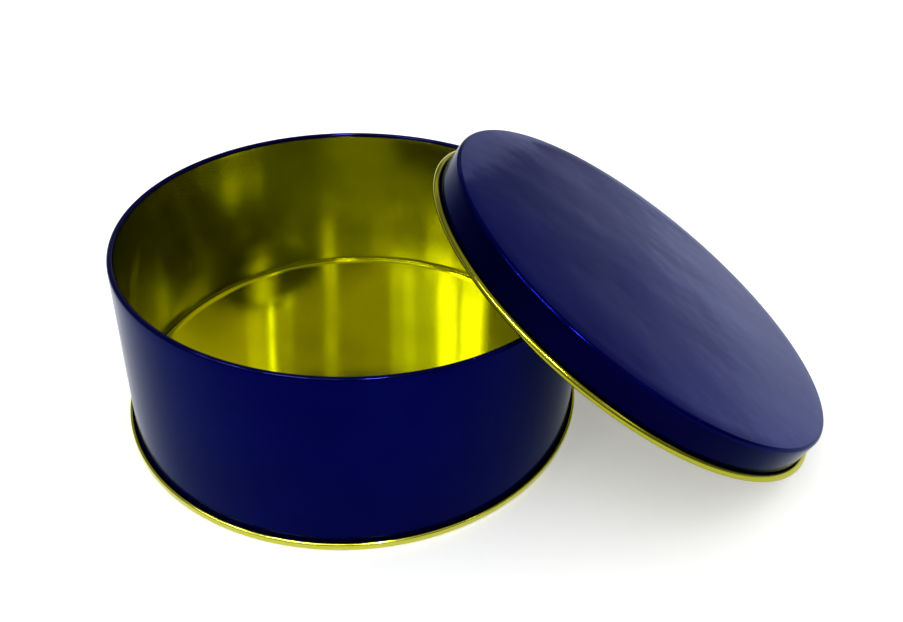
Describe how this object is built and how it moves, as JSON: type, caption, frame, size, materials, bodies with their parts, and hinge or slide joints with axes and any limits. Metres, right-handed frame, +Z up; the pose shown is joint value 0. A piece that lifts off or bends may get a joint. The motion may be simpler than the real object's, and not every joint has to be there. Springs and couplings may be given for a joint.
{
  "type": "cookie tin",
  "caption": "Round tinplate cookie tin, navy outside and gold-lacquered inside, with its shallow slip-on lid leaning against the rim.",
  "frame": {"origin": "on the floor, under the middle of the footprint of the tin and the leaning lid together", "axes": "+Z up along the tin's axis; +X from the tin towards the lid's foot; the seam ring the tin stands on faces -Z"},
  "size_m": [0.3006, 0.2016, 0.1104],
  "materials": {
    "navy_lacquer": "satin-gloss navy lacquer on tinplate",
    "gold_lacquer": "satin transparent gold lacquer on bright tinplate"
  },
  "bodies": {
    "tin": {"body_shell": "navy_lacquer", "bottom_end": "gold_lacquer"},
    "lid": {"lid": "navy_lacquer"}
  },
  "joints": [
    {"name": "lid_lift", "type": "slide", "parent": "tin", "child": "lid", "axis": [0, 0, 1], "range_m": [0, 0.12]}
  ]
}
